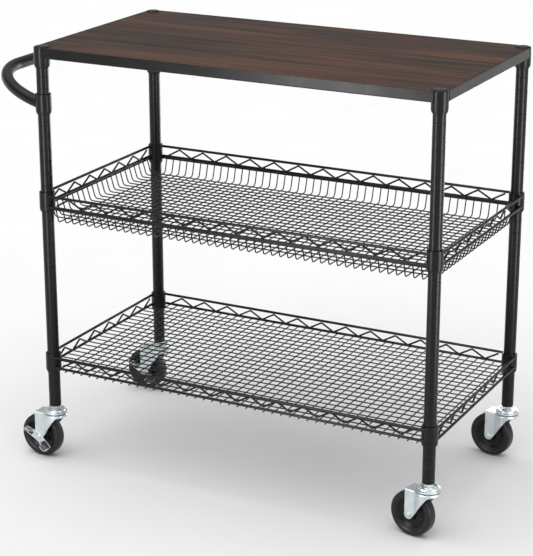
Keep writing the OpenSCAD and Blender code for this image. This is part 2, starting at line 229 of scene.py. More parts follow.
def inset(outline, distance):
    """A closed 2D outline moved inwards. The outline runs anticlockwise."""
    moved = []
    count = len(outline)
    for i, point in enumerate(outline):
        before = (point - outline[i - 1]).normalized()
        after = (outline[(i + 1) % count] - point).normalized()
        along = (before + after).normalized()
        inward = Vector((-along.y, along.x))
        moved.append(point + inward * distance / max(0.5, along.dot(after)))
    return moved


def plate(outline, thickness, edge):
    """A flat plate on z = 0 with rounded edges."""
    levels = [(edge * (1 - math.sin(a)), edge * (1 - math.cos(a)))
              for a in (0, math.pi / 6, math.pi / 3, math.pi / 2)]
    levels += [(rise, thickness - z) for rise, z in reversed(levels)]
    rings = []
    for cut, z in levels:
        rings.append([Vector((p.x, p.y, z)) for p in inset(outline, cut)])
    return skin(rings)


def tube(path, radius, sides=12, end_bevel=0.25):
    """A round wire along the path, with a small bevel on its cut ends."""
    last = len(path) - 1
    along = [(path[min(i + 1, last)] - path[max(i - 1, 0)]).normalized() for i in range(last + 1)]
    side = along[0].orthogonal().normalized()
    bevel = radius * end_bevel
    rings = []
    for i, point in enumerate(path):
        side = (side - along[i] * side.dot(along[i])).normalized()
        other = along[i].cross(side)
        spots = [(point, radius)]
        if bevel and i == 0:
            spots = [(point, radius - bevel), (point + along[i] * bevel, radius)]
        if bevel and i == last:
            spots = [(point - along[i] * bevel, radius), (point, radius - bevel)]
        for centre, r in spots:
            rings.append([centre + r * (side * math.cos(TAU * k / sides)
                                        + other * math.sin(TAU * k / sides))
                          for k in range(sides)])
    return skin(rings)


def hexagon(radius):
    """The outline of a hexagon whose corners are at the radius."""
    return [Vector((radius * math.cos(TAU * k / 6), radius * math.sin(TAU * k / 6)))
            for k in range(6)]


# ---- Materials ----

def new_material(name):
    material = bpy.data.materials.new(name)
    material.use_nodes = True
    tree = material.node_tree
    tree.nodes.clear()
    return material, tree


def add_node(tree, kind, inputs=None, **settings):
    """A shader node. inputs gives values or other nodes' outputs for its sockets."""
    node = tree.nodes.new(kind)
    for name, value in settings.items():
        setattr(node, name, value)
    for name, value in (inputs or {}).items():
        if isinstance(value, bpy.types.NodeSocket):
            tree.links.new(value, node.inputs[name])
        else:
            node.inputs[name].default_value = value
    return node


def object_coordinates(tree, scale=(1, 1, 1)):
    coordinates = add_node(tree, "ShaderNodeTexCoord").outputs["Object"]
    mapping = add_node(tree, "ShaderNodeMapping", {"Vector": coordinates, "Scale": scale})
    return mapping.outputs["Vector"]


def noise(tree, vector, scale, detail=2.0, roughness=0.5, distortion=0.0):
    node = add_node(tree, "ShaderNodeTexNoise", {
        "Vector": vector, "Scale": scale, "Detail": detail, "Roughness": roughness,
        "Distortion": distortion})
    return node.outputs["Fac"]


def ramp(tree, factor, stops):
    """A colour ramp through (position, colour) stops."""
    node = add_node(tree, "ShaderNodeValToRGB", {"Fac": factor})
    elements = node.color_ramp.elements
    for _ in stops[2:]:
        elements.new(0.5)
    for element, (position, colour) in zip(elements, stops):
        element.position = position
        element.color = (*colour, 1)
    return node.outputs["Color"]


def span(tree, factor, low_value, high_value, start=0.3, end=0.7):
    """The factor from start to end spread over low_value to high_value."""
    node = add_node(tree, "ShaderNodeMapRange", {
        "Value": factor, "From Min": start, "From Max": end,
        "To Min": low_value, "To Max": high_value})
    return node.outputs["Result"]


def bump(tree, height, distance, normal=None, strength=1.0):
    inputs = {"Height": height, "Distance": distance, "Strength": strength}
    if normal:
        inputs["Normal"] = normal
    return add_node(tree, "ShaderNodeBump", inputs).outputs["Normal"]


def finish_surface(tree, inputs):
    shader = add_node(tree, "ShaderNodeBsdfPrincipled", inputs)
    add_node(tree, "ShaderNodeOutputMaterial", {"Surface": shader.outputs["BSDF"]})


def knurled_grip():
    """Dark pressed tread on the brake pedals, studded with small raised dots. Each dot is painted
    lighter in its colour, as a painted highlight.
    """
    material, tree = new_material("knurled_grip")
    dots = add_node(tree, "ShaderNodeTexVoronoi", {
        "Vector": object_coordinates(tree), "Scale": 420.0, "Randomness": 0.25})
    stud_relief_and_painted_glint = span(tree, dots.outputs["Distance"], 1, 0, 0.15, 0.6)
    finish_surface(tree, {
        # The colour ramp paints every raised dot lighter grey: a painted highlight on the stud
        # tops, on top of their real bump and gloss.
        "Base Color": ramp(tree, stud_relief_and_painted_glint, [(0.55, grey(0.012)), (0.95, grey(0.22))]),
        "Roughness": span(tree, stud_relief_and_painted_glint, 0.5, 0.3, 0, 1),
        "Specular IOR Level": 0.4,
        "Normal": bump(tree, stud_relief_and_painted_glint, 0.25 * MM)})
    return material


def grey(value):
    return (value, value, value)


def powder_coat():
    """Black powder coat: semi-gloss with a fine orange peel."""
    material, tree = new_material("powder_coat_black")
    place = object_coordinates(tree)
    peel = noise(tree, place, 620, detail=1)
    grain = noise(tree, place, 2600, detail=2)
    patches = noise(tree, place, 22, detail=3)
    relief = bump(tree, grain, 0.012 * MM, bump(tree, peel, 0.05 * MM))
    finish_surface(tree, {
        "Base Color": ramp(tree, patches, [(0.3, grey(0.0018)), (0.7, grey(0.0034))]),
        "Roughness": span(tree, patches, 0.26, 0.32),
        "Specular IOR Level": 0.27,
        "Normal": relief})
    return material


def walnut_laminate():
    """Dark walnut laminate, with its grain along X and a satin face."""
    material, tree = new_material("walnut_laminate")
    bands = noise(tree, object_coordinates(tree, (1.1, 17, 1)), 1, 3, 0.55, 0.6)
    streaks = noise(tree, object_coordinates(tree, (3.4, 115, 1)), 1, 4, 0.6, 0.35)
    fibres = noise(tree, object_coordinates(tree, (14, 900, 1)), 1, 2, 0.6)
    pores = noise(tree, object_coordinates(tree, (90, 2600, 1)), 1, 1, 0.5)
    broad = add_node(tree, "ShaderNodeMix", {"Factor": 0.66, "A": bands, "B": streaks})
    both = add_node(tree, "ShaderNodeMix", {
        "Factor": 0.22, "A": broad.outputs["Result"], "B": fibres})
    tone = ramp(tree, both.outputs["Result"], [
        (0.42, (0.006, 0.004, 0.0035)), (0.475, (0.022, 0.0095, 0.006)),
        (0.525, (0.056, 0.021, 0.0095)), (0.60, (0.098, 0.037, 0.016))])
    finish_surface(tree, {
        "Base Color": tone,
        "Roughness": span(tree, fibres, 0.36, 0.48),
        "Specular IOR Level": 0.09,
        "Normal": bump(tree, pores, 0.02 * MM, bump(tree, fibres, 0.03 * MM))})
    return material


def zinc_plate():
    """Bright zinc plating on pressed steel: slightly blue and faintly mottled."""
    material, tree = new_material("zinc_plate")
    place = object_coordinates(tree)
    clouds = noise(tree, place, 90, detail=4, roughness=0.6)
    spangle = noise(tree, place, 420, detail=2)
    scratches = noise(tree, object_coordinates(tree, (300, 300, 2400)), 1, 2)
    finish_surface(tree, {
        "Base Color": ramp(tree, clouds, [
            (0.3, (0.55, 0.62, 0.65)), (0.55, (0.63, 0.68, 0.70)), (0.75, (0.69, 0.72, 0.73))]),
        "Metallic": 1.0,
        "Roughness": span(tree, clouds, 0.34, 0.44),
        "Normal": bump(tree, scratches, 0.006 * MM, bump(tree, spangle, 0.012 * MM))})
    return material


def tyre_rubber():
    """Hard black rubber, matt with a fine moulded grain."""
    material, tree = new_material("tyre_rubber")
    place = object_coordinates(tree)
    grain = noise(tree, place, 1500, detail=3)
    dust = noise(tree, place, 60, detail=4, roughness=0.65)
    finish_surface(tree, {
        "Base Color": ramp(tree, dust, [(0.35, grey(0.006)), (0.7, grey(0.011))]),
        "Roughness": span(tree, dust, 0.30, 0.42),
        "Specular IOR Level": 0.35,
        "Normal": bump(tree, grain, 0.04 * MM)})
    return material


def black_plastic():
    """Moulded black nylon with a light sheen."""
    material, tree = new_material("black_plastic")
    place = object_coordinates(tree)
    grain = noise(tree, place, 1900, detail=2)
    flow = noise(tree, place, 130, detail=3)
    finish_surface(tree, {
        "Base Color": ramp(tree, flow, [(0.3, grey(0.004)), (0.7, grey(0.007))]),
        "Roughness": span(tree, flow, 0.28, 0.38),
        "Specular IOR Level": 0.25,
        "Normal": bump(tree, grain, 0.025 * MM)})
    return material


def studio_paper():
    """Pale floor with a barely visible tooth."""
    material, tree = new_material("studio_paper")
    tooth = noise(tree, object_coordinates(tree), 3, detail=3)
    finish_surface(tree, {
        "Base Color": ramp(tree, tooth, [(0.3, grey(0.86)), (0.7, grey(0.88))]),
        "Roughness": 1.0,
        "Specular IOR Level": 0.0})
    return material


FINISHES = {
    "black_steel": powder_coat(),
    "walnut_laminate": walnut_laminate(),
    "zinc_steel": zinc_plate(),
    "tyre_rubber": tyre_rubber(),
    "black_plastic": black_plastic(),
    "pedal_grip": knurled_grip(),
}


def add_piece(name, solid, finish, body, *nodes):
    """Makes a piece of the cart that rides on a body and stands for CAD nodes.

    Edges that turn by more than 42 degrees stay sharp, and the rest are shaded smooth."""
    points, faces = solid
    mesh = bpy.data.meshes.new(name)
    mesh.from_pydata(points, [], faces)
    work = bmesh.new()
    work.from_mesh(mesh)
    bmesh.ops.remove_doubles(work, verts=work.verts, dist=0.001 * MM)
    bmesh.ops.recalc_face_normals(work, faces=work.faces)
    work.to_mesh(mesh)
    work.free()
    mesh.shade_smooth()
    mesh.set_sharp_from_angle(angle=math.radians(42))
    mesh.materials.append(FINISHES[finish])
    piece = bpy.data.objects.new(name, mesh)
    bpy.context.scene.collection.objects.link(piece)
    even = piece.modifiers.new("even_shading", "WEIGHTED_NORMAL")
    even.keep_sharp = True
    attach(piece, body)
    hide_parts(*nodes)


def keep_node(node, finish):
    """Gives a CAD node that stays in view its finish."""
    mesh = frame["nodes"][node].data
    mesh.materials.clear()
    mesh.materials.append(FINISHES[finish])


# ---- Posts, caps and collars ----

def post_solid():
    """A hollow post with a groove at every pitch and slightly rounded ends."""
    length = POST_TOP - POST_BASE
    plain_end = 2 * MM
    lip = 0.3 * MM
    inner = POST_R - POST_WALL
    outside = []
    z = GROOVE_FIRST
    while z < length - plain_end:
        outside += [(POST_R - share * GROOVE_DEPTH, z + rise) for rise, share in GROOVE_SHAPE]
        z += GROOVE_PITCH
    ends_low = [(inner, 0), (POST_R - lip, 0), (POST_R, lip)]
    ends_high = [(POST_R, length - lip), (POST_R - lip, length), (inner, length)]
    return lathe(ends_low + outside + ends_high)


def cap_solid():
    """A domed plug: its brim sits on the post inside the collar."""
    brim = extent("post_caps").x / 2 - HALF_X
    rise = high("post_caps").z - POST_TOP
    plug = POST_R - POST_WALL - 0.05 * MM
    plug_end = -12 * MM
    chamfer = MM
    edge = 2.6 * MM
    crown = brim - 4.2 * MM
    stem = [(0, plug_end), (plug - chamfer, plug_end), (plug, plug_end + chamfer), (plug, 0)]
    dome = [(brim - edge * (1 - math.cos(a)), rise - edge * (1 - math.sin(a)) - 0.3 * MM)
            for a in (0, TAU / 24, TAU / 12, TAU / 8, TAU / 6)]
    return lathe(stem + [(brim, 0)] + dome + [(crown, rise - 0.1 * MM), (0, rise)])


def collar_solid():
    """The welded collar: a slightly tapered ring with softly rounded rims."""
    taper = 0.25 * MM
    waist = -COLLAR_H * 0.6
    bore_low = SLEEVE_LOW_R + 0.05 * MM
    corners = [(COLLAR_BORE, 0), (COLLAR_R - taper, 0), (COLLAR_R, waist), (COLLAR_R, -COLLAR_H),
               (bore_low, -COLLAR_H)]
    return lathe(profile_of(corners, [0.4 * MM, 1.1 * MM, 20 * MM, 0.8 * MM, 0.3 * MM]))


def sleeve_solid(top, foot):
    """The two halves of a split sleeve, from its top down to its foot.

    The taper fills the collar, a lip shows under it, and a narrower foot ends the sleeve."""
    bore = POST_R + 0.05 * MM
    shoulder = COLLAR_H + 0.25 * MM
    lip_r = 15.7 * MM
    foot_r = 14 * MM
    profile = [
        (COLLAR_BORE - 0.05 * MM, top), (SLEEVE_LOW_R, -COLLAR_H), (lip_r, -shoulder),
        (lip_r, foot + 3.1 * MM), (lip_r - 0.4 * MM, foot + 2.5 * MM),
        (foot_r + 0.1 * MM, foot + 2.1 * MM), (foot_r, foot + 0.4 * MM),
        (foot_r - 0.3 * MM, foot), (bore, foot), (bore, top)]
    gap = SLEEVE_SLOT / 2 / SLEEVE_LOW_R
    return merged(*[lathe(profile, 32, gap + half, math.pi - 2 * gap) for half in (0, math.pi)])


def at_posts(solid, z, corners=CORNERS):
    """A copy of the solid on the axis of each post."""
    return merged(*[placed(solid, at(POSTS[c].x, POSTS[c].y, z)) for c in corners])


for corner in CORNERS:
    add_piece(f"{corner}_post", at_posts(post_solid(), POST_BASE, [corner]), "black_steel",
              "frame", f"post_{corner}")
add_piece("domed_caps", at_posts(cap_solid(), POST_TOP), "black_plastic", "frame", "post_caps")

for level in ("top", "handle", "basket", "shelf"):
    corners = BRAKED if level == "handle" else CORNERS
    collar_top = high(f"{level}_collars").z
    sleeve_top = high(f"{level}_sleeves").z - collar_top
    sleeve_foot = low(f"{level}_sleeves").z - collar_top
    add_piece(f"{level}_collar_rings", at_posts(collar_solid(), collar_top, corners),
              "black_steel", "frame", f"{level}_collars")
    add_piece(f"{level}_split_sleeves",
              at_posts(sleeve_solid(sleeve_top, sleeve_foot), collar_top, corners),
              "black_plastic", "frame", f"{level}_sleeves")


# ---- Top board and its rails ----

def rail_section(out):
    """Outer and inner line of an angle rail's section, as matching (y, z) points.

    Both lines follow a spine down the middle of the sheet, cut in short steps."""
    half = RAIL_T / 2
    nose = half * 0.8
    bend = 1.6 * MM
    step = 1.5 * MM
    spine = rounded(flat_points((half - out, TOP_Z - nose), (half - out, RAIL_BASE + half),
                                (LEDGE_W - out, RAIL_BASE + half)), bend, steps=6)
    run = [spine[0]]
    for point in spine[1:]:
        pieces = max(1, round((point - run[-1]).length / step))
        start = run[-1]
        run += [start.lerp(point, (k + 1) / pieces) for k in range(pieces)]
    last = len(run) - 1
    outer, inner = [], []
    for i, point in enumerate(run):
        along = (run[min(i + 1, last)] - run[max(i - 1, 0)]).normalized()
        across = Vector((along.y, -along.x)) * half
        outer.append(point - across)
        inner.append(point + across)
    up = Vector((0, nose))
    first, second = outer[0], inner[0]
    outer.insert(0, first.lerp(second, 0.2) + up)
    inner.insert(0, first.lerp(second, 0.8) + up)
    return outer, inner


def rail_solid(half_length, out):
    """One angle rail along X, its outer face at y = -out, ending against the collars."""
    collar_skin = COLLAR_R + 0.05 * MM
    outer, inner = rail_section(out)
    section = outer + inner[::-1]
    ends = []
    for side in (-1, 1):
        ring = []
        for y, z in section:
            from_post = y + out - RAIL_OUT
            room = math.sqrt(max(0.0, collar_skin ** 2 - from_post ** 2))
            ring.append(Vector((side * (half_length - max(0.0, room - RAIL_END)), y, z)))
        ends.append(ring)
    points, faces = skin(ends, caps=False)
    for base in (0, len(section)):
        for i in range(len(outer) - 1):
            j = len(section) - 1 - i
            faces.append([base + i, base + i + 1, base + j - 1, base + j])
    return points, faces


def rail_pair(half_length, out, turn):
    """The two opposite rails, turned about the middle of the cart."""
    rail = rail_solid(half_length, out)
    return merged(*[placed(rail, at(MID.x, MID.y, 0, turn + side)) for side in (0, math.pi)])


def board_solid():
    """The board, with its corners cut round the collars and a thin gap to its rails."""
    size = extent("top_board")
    cut = COLLAR_R + 0.5 * MM
    gap = 0.7 * MM
    edge = 0.8 * MM
    first = math.acos((size.x / 2 - HALF_X) / cut)
    steps = 16
    arc = []
    for k in range(steps + 1):
        a = -first - (TAU * 3 / 4 - 2 * first) * k / steps
        arc.append(Vector((HALF_X + cut * math.cos(a), HALF_Y + cut * math.sin(a))))
    outline = []
    for sx, sy in ((1, 1), (-1, 1), (-1, -1), (1, -1)):
        quarter = [Vector((sx * p.x, sy * p.y)) for p in arc]
        outline += quarter if sx * sy > 0 else quarter[::-1]
    board = plate(inset(outline, gap), size.z, edge)
    return placed(board, at(MID.x, MID.y, low("top_board").z))


add_piece("side_angle_rails", rail_pair(HALF_X - RAIL_END, HALF_Y + RAIL_OUT, 0), "black_steel",
          "frame", "top_side_rails")
add_piece("end_angle_rails", rail_pair(HALF_Y - RAIL_END, HALF_X + RAIL_OUT, math.pi / 2),
          "black_steel", "frame", "top_end_rails")
add_piece("laminate_board", board_solid(), "walnut_laminate", "frame", "top_board")


# ---- Handle ----

def handle_solid():
    """The bent handle tube. Its two cut ends follow the collars that they are welded to."""
    tilt = math.radians(16)
    radius = 12.5 * MM
    bend = 140 * MM
    sides = 40
    root = COLLAR_R * 0.7
    reach = (POSTS["front_left"].x - low("handle_tube").x - radius) / math.cos(tilt)
    hinge = Vector((POSTS["front_left"].x, MID.y,
                    middle("handle_collars").z - COLLAR_R * math.tan(tilt)))
    slope = Matrix.Translation(hinge) @ Matrix.Rotation(tilt, 4, "Y")
    corners = [(-root, -HALF_Y), (-reach, -HALF_Y), (-reach, HALF_Y), (-root, HALF_Y)]
    path = rounded([slope @ Vector((x, y, 0)) for x, y in corners], bend, steps=28)
    points, faces = tube(path, radius, sides, 0)
    along = slope.to_3x3() @ Vector((-1, 0, 0))
    collar_skin = COLLAR_R - 0.3 * MM
    for ring, post in ((points[:sides], "front_left"), (points[-sides:], "rear_left")):
        for point in ring:
            room = math.sqrt(collar_skin ** 2 - (point.y - POSTS[post].y) ** 2)
            point += along * ((point.x - POSTS[post].x + room) / -along.x)
    return points, faces


add_piece("push_handle", handle_solid(), "black_steel", "frame", "handle_tube")


# ---- Wire rims ----

def straight(start, end, radius, sides=14):
    """A straight wire between two places."""
    return tube([Vector(start), Vector(end)], radius, sides)


def rim_loop(z, out, radius, end):
    """Four straight wires at one height, outside the lines between the posts.

    Each stops the end distance short of the post axes."""
    x, y = HALF_X + out, HALF_Y + out
    wires = []
    for s in (-1, 1):
        wires.append(straight((end - HALF_X, s * y, z), (HALF_X - end, s * y, z), radius))
        wires.append(straight((s * x, end - HALF_Y, z), (s * x, HALF_Y - end, z), radius))
    return placed(merged(*wires), at(MID.x, MID.y))


def snake_line(node, half):
    """The zigzag of one side, as (distance along, height) points."""
    steps = 2 * int((half - SNAKE_END - SNAKE_STEP / 2) / SNAKE_STEP) + 1
    bottom = low(node).z + SNAKE_R
    top = high(node).z - SNAKE_R
    return [(SNAKE_STEP * (i - steps / 2), top if i % 2 else bottom) for i in range(steps + 1)]


def snake_wires(node):
    """The four zigzags of one level."""
    wires = []
    bend = 4.5 * MM
    for s in (-1, 1):
        side = [Vector((u, s * (HALF_Y + SNAKE_OUT), z)) for u, z in snake_line(node, HALF_X)]
        end = [Vector((s * (HALF_X + SNAKE_OUT), u, z)) for u, z in snake_line(node, HALF_Y)]
        wires += [tube(rounded(line, bend), SNAKE_R, WIRE_SIDES) for line in (side, end)]
    return placed(merged(*wires), at(MID.x, MID.y))


def double_rim(level):
    """The upper and lower thick rim wires of one level."""
    upper = high(f"{level}_rim_wires").z - RIM_R
    lower = high(f"{level}_collars").z - RIM_DROP
    return merged(*[rim_loop(z, RIM_OUT, RIM_R, RIM_END) for z in (upper, lower)])


third_wire = rim_loop(low("basket_rim_wires").z + INNER_R, INNER_OUT, INNER_R, INNER_END)
add_piece("basket_rims", merged(double_rim("basket"), third_wire), "black_steel", "frame",
          "basket_rim_wires")
add_piece("shelf_rims", double_rim("shelf"), "black_steel", "frame", "shelf_rim_wires")
for level in ("basket", "shelf"):
    add_piece(f"{level}_zigzags", snake_wires(f"{level}_snake_wires"), "black_steel", "frame",
              f"{level}_snake_wires")


# ---- Shelf and basket decks ----

def shelf_cross():
    """The cross wires of the shelf, from its front rim to its rear rim."""
    node = "shelf_cross_wires"
    z = middle(node).z
    return merged(*[straight((x, low(node).y, z), (x, high(node).y, z), DECK_R, WIRE_SIDES)
                    for x in row_centres(node, 0)])


def shelf_long():
    """The long wires of the shelf. The outermost two stop short of the collars."""
    node = "shelf_long_wires"
    z = middle(node).z
    rows = row_centres(node, 1)
    clear = MM
    wires = []
    for y in rows:
        near_collar = y in (rows[0], rows[-1])
        half = HALF_X - COLLAR_R - clear if near_collar else extent(node).x / 2
        wires.append(straight((MID.x - half, y, z), (MID.x + half, y, z), DECK_R, WIRE_SIDES))
    return merged(*wires)


def hanging_line(node, axis):
    """A basket wire as (distance along, height) points: down one side, across and up."""
    slope = math.radians(16)
    top = high(node).z - DECK_R * math.sin(slope)
    floor = low(node).z + DECK_R * 1.06
    out = extent(node)[axis] / 2 - DECK_R * math.cos(slope)
    foot = out - (top - floor) * math.tan(slope)
    return [(-out, top), (-foot, floor), (foot, floor), (out, top)]


def basket_wires(node, axis):
    """All basket wires that run along one axis."""
    bend = 8 * MM
    wires = []
    for row in row_centres(node, 1 - axis):
        corners = []
        for along, z in hanging_line(node, axis):
            place = (MID.x + along, row, z) if axis == 0 else (row, MID.y + along, z)
            corners.append(Vector(place))
        wires.append(tube(rounded(corners, bend, steps=6), DECK_R, WIRE_SIDES))
    return merged(*wires)


add_piece("shelf_cross_rods", shelf_cross(), "black_steel", "frame", "shelf_cross_wires")
add_piece("shelf_long_rods", shelf_long(), "black_steel", "frame", "shelf_long_wires")
add_piece("basket_cross_rods", basket_wires("basket_cross_wires", 1), "black_steel", "frame",
          "basket_cross_wires")
add_piece("basket_long_rods", basket_wires("basket_long_wires", 0), "black_steel", "frame",
          "basket_long_wires")


# ---- Casters ----

# Sizes are the same at every corner, so they are read from the rear left caster
CROWN_Z = high("fork_rear_left").z
CROWN_R = extent("fork_rear_left").y / 2
FORK_T = 2.5 * MM
SIDE_Y = 17.5 * MM
FOOT_R = 9 * MM
WHEEL_R = extent("tyre_rear_left").z / 2
CORE_R = extent("core_rear_left").z / 2
STEM_R = 6 * MM
AXLE_R = 4 * MM
BOLT_SIDES = 32
WHEEL_SIDES = 96
BRAKE_T = 1.6 * MM
BRAKE_Y = SIDE_Y + 0.3 * MM
ROLL = JOINTS["roll_rear_left"]["pos_m"]
AXLE_Z = ROLL[2]
TRAIL = JOINTS["swivel_rear_left"]["pos_m"][0] - ROLL[0]


def on_corner(corner):
    """Placement on a caster's swivel axis, with X pointing away from its wheel."""
    x, y, _ = JOINTS[f"roll_{corner}"]["axis"]
    return at(POSTS[corner].x, POSTS[corner].y, 0, math.atan2(-x, y))


def on_axle(corner):
    """Placement on a caster's axle, with Z along it towards the front of the cart."""
    hub = Matrix.Translation((-TRAIL, 0, AXLE_Z))
    return on_corner(corner) @ hub @ Matrix.Rotation(TAU / 4, 4, "X")


def skirt_bottom(x, leave, rise, floor):
    """Height of the fork's lower edge: a slope from the foot that blends into the crown's rim."""
    blend = 6 * MM
    line = leave.y + (x - leave.x) * rise
    share = min(1.0, max(0.0, 0.5 + 0.5 * (floor - line) / blend))
    return floor + (line - floor) * share - blend * share * (1 - share)


def fork_edge():
    """The outer line of the fork seen from above, as (point, lowest height) pairs.

    It runs from the back of the near leg, round the crown, to the back of the far leg. Each leg
    is flat with a round foot, and its skirt swings out to the round crown in a smooth curve."""
    foot = Vector((-TRAIL, AXLE_Z))
    lip = Vector((13 * MM, CROWN_Z - 6 * MM))
    reach = lip - foot
    touch = math.atan2(reach.y, reach.x) - math.acos(FOOT_R / reach.length)
    rise = math.tan(touch + TAU / 4)
    leave = foot + FOOT_R * Vector((math.cos(touch), math.sin(touch)))

    edge = []
    foot_steps = 16
    for k in range(foot_steps + 1):
        turn = (TAU / 2 + touch) * k / foot_steps
        edge.append((Vector((foot.x - FOOT_R * math.cos(turn), -SIDE_Y)),
                     foot.y - FOOT_R * math.sin(turn)))

    start = Vector((-22 * MM, -SIDE_Y))
    meet = math.radians(247)
    end = CROWN_R * Vector((math.cos(meet), math.sin(meet)))
    pull = 13 * MM
    pull_out = start + Vector((pull / 3, 0))
    pull_in = end - Vector((-math.sin(meet), math.cos(meet))) * pull / 3
    skirt_steps = 10
    for k in range(skirt_steps + 1):
        t = k / skirt_steps
        point = ((1 - t) ** 3 * start + 3 * t * (1 - t) ** 2 * pull_out
                 + 3 * t * t * (1 - t) * pull_in + t ** 3 * end)
        edge.append((point, skirt_bottom(point.x, leave, rise, lip.y)))

    crown_steps = 16
    for k in range(1, crown_steps + 1):
        a = meet + (TAU - meet) * k / crown_steps
        point = CROWN_R * Vector((math.cos(a), math.sin(a)))
        edge.append((point, skirt_bottom(point.x, leave, rise, lip.y)))
    far_side = [(Vector((p.x, -p.y)), z) for p, z in reversed(edge[:-1])]
    return edge + far_side


def fork_solid():
    """The pressed fork: a crown whose skirt deepens into the two legs.

    Its rings follow fork_edge() up the outside, over the bend and down the inside. A ring has an
    inset and a rise above the lower edge, or a rise of None for a ring at a fixed height."""
    edge = fork_edge()
    last = len(edge) - 1
    count = len(edge)
    inward = []
    for i in range(count):
        along = (edge[min(i + 1, last)][0] - edge[max(i - 1, 0)][0]).normalized()
        inward.append(Vector((-along.y, along.x)))

    bend = 3 * MM
    crease = 1 * MM
    burr = 0.45 * MM
    under = CROWN_Z - FORK_T
    turns = (0, TAU / 12, TAU / 6, TAU / 4)
    over = [(bend * (1 - math.cos(a)), None, CROWN_Z - bend * (1 - math.sin(a))) for a in turns]
    back = [(FORK_T + crease * (1 - math.cos(a)), None, under - crease * (1 - math.sin(a)))
            for a in reversed(turns)]
    levels = [(burr, 0, None), (0, burr, None), *over, *back, (FORK_T, burr, None),
              (FORK_T - burr, 0, None)]
    rings = []
    for cut, rise, height in levels:
        ring = []
        for (point, bottom), normal in zip(edge, inward):
            spot = point + normal * cut
            ring.append(Vector((spot.x, spot.y, height if rise is None else bottom + rise)))
        rings.append(ring)

    points, faces = skin(rings, closed=False, caps=False)
    top = (1 + len(over)) * count
    final = (len(levels) - 1) * count
    faces += [[start + i for i in range(count)] for start in (top, top + count)]
    faces += [[level * count + i for level in range(len(levels))] for i in (0, last)]
    faces += [[i, i + 1, final + i + 1, final + i] for i in range(last)]
    faces.append([top, top + count, top + count + last, top + last])
    return points, faces


def stem_solid():
    """The fixed stem with its hex collar on top and its rounded head under the crown."""
    foot = CROWN_Z - 3.5 * MM
    tip = POST_BASE + 24.5 * MM
    head_low = CROWN_Z - 6.8 * MM
    head_top = CROWN_Z - 2.8 * MM
    hex_h = 7.3 * MM
    hex_base = POST_BASE - 7.5 * MM
    shaft = lathe(profile_of([(0, foot), (STEM_R, foot), (STEM_R, tip), (0, tip)],
                             [0, 0.8 * MM, 0.8 * MM, 0]), BOLT_SIDES)
    head = lathe(profile_of([(0, head_low), (8 * MM, head_low), (10 * MM, head_top),
                             (0, head_top)], [0, 2 * MM, 0.6 * MM, 0]), BOLT_SIDES)
    return merged(shaft, head, placed(plate(hexagon(10 * MM), hex_h, 0.7 * MM), at(0, 0, hex_base)))


def race_solid():
    """The upper ball race: a ring with a ball groove below, a rolled rim and a dished top."""
    base = low("caster_race_caps").z
    top = high("caster_race_caps").z
    bore = STEM_R + 0.05 * MM
    groove = base + 1.6 * MM
    boss = top - 0.1 * MM
    below = [(bore, base), (13.5 * MM, base), (14 * MM, groove), (20 * MM, groove),
             (20.5 * MM, base)]
    rim = [(CROWN_R, base), (CROWN_R, base + 3.2 * MM), (21.5 * MM, base + 4.4 * MM),
           (20 * MM, top), (16.5 * MM, top)]
    dish = [(15 * MM, top - 1.6 * MM), (12 * MM, top - 1.2 * MM), (11 * MM, boss), (bore, boss)]
    return lathe(profile_of(below + rim + dish, 0.8 * MM))


def axle_solid(braked):
    """The axle bolt: a domed rivet head on the near side and a nut on the far side."""
    gap = 0.1 * MM
    near = BRAKE_Y + BRAKE_T + 0.3 * MM if braked else SIDE_Y + gap
    nut_h = 4.5 * MM
    far = -SIDE_Y - gap - nut_h
    tip = far - 1.5 * MM
    dome_r = 4.5 * MM
    flange_r = 6.5 * MM
    shaft = lathe(profile_of([(0, tip), (AXLE_R, tip), (AXLE_R, near), (0, near)],
                             [0, 0.6 * MM, 0, 0]), BOLT_SIDES)
    flange = [(0, near - gap), (flange_r, near - gap), (flange_r, near + 0.9 * MM),
              (dome_r + 0.6 * MM, near + 0.9 * MM)]
    dome = [(dome_r + 0.4 * MM, near + 0.5 * MM), (dome_r, near + 0.7 * MM),
            (dome_r - 0.3 * MM, near + 2.6 * MM), (0, near + 2.9 * MM)]
    head = lathe(profile_of(flange + dome, [
        0, 0.4 * MM, 0.4 * MM, 0.1 * MM, 0.1 * MM, 0.1 * MM, 1.3 * MM, 0]), 40)
    nut = placed(plate(hexagon(7 * MM), nut_h, 0.6 * MM), at(0, 0, far))
    return merged(shaft, head, nut)


def both_sides(half):
    """A closed (radius, width) outline from its half on the positive side."""
    return half + [(r, -w) for r, w in reversed(half)]


def tyre_solid():
    """A hard tyre with rounded shoulders, a dished wall and a parting ridge round its tread."""
    half_w = extent("tyre_rear_left").y / 2
    shoulder = 4.6 * MM
    ridge_h = 0.35 * MM
    tread = WHEEL_R - ridge_h
    wall = [(CORE_R, half_w - 2.6 * MM), (CORE_R + 1.2 * MM, half_w - 1.5 * MM),
            (CORE_R + 2.8 * MM, half_w - 0.4 * MM), (CORE_R + 4.4 * MM, half_w)]
    corner = [(tread - shoulder * (1 - math.sin(a)), half_w - shoulder * (1 - math.cos(a)))
              for a in (TAU / 4 * k / 5 for k in range(6))]
    ridge = [(tread, 0.9 * MM), (WHEEL_R, 0.35 * MM)]
    return lathe(both_sides(wall + corner + ridge), WHEEL_SIDES)


def core_solid():
    """The moulded wheel centre: a hub cone, a recessed web and a flange under the tyre."""
    hub_w = extent("core_rear_left").y / 2
    corners = [(6 * MM, hub_w), (11 * MM, hub_w), (13.5 * MM, 5 * MM), (25.5 * MM, 4.2 * MM),
               (30.5 * MM, 8.6 * MM), (CORE_R, 9.4 * MM)]
    radii = [0, 1 * MM, 4 * MM, 5 * MM, 2.5 * MM, 0]
    path = rounded(flat_points(*corners), radii, steps=6)
    return lathe(both_sides([tuple(p) for p in path]), WHEEL_SIDES)


ARM_ANGLES = (math.radians(158), math.radians(315))
ARM_LEN = 36 * MM
ARM_HALF = 7 * MM
FLANGE_H = 14 * MM
HOOK_H = 8 * MM


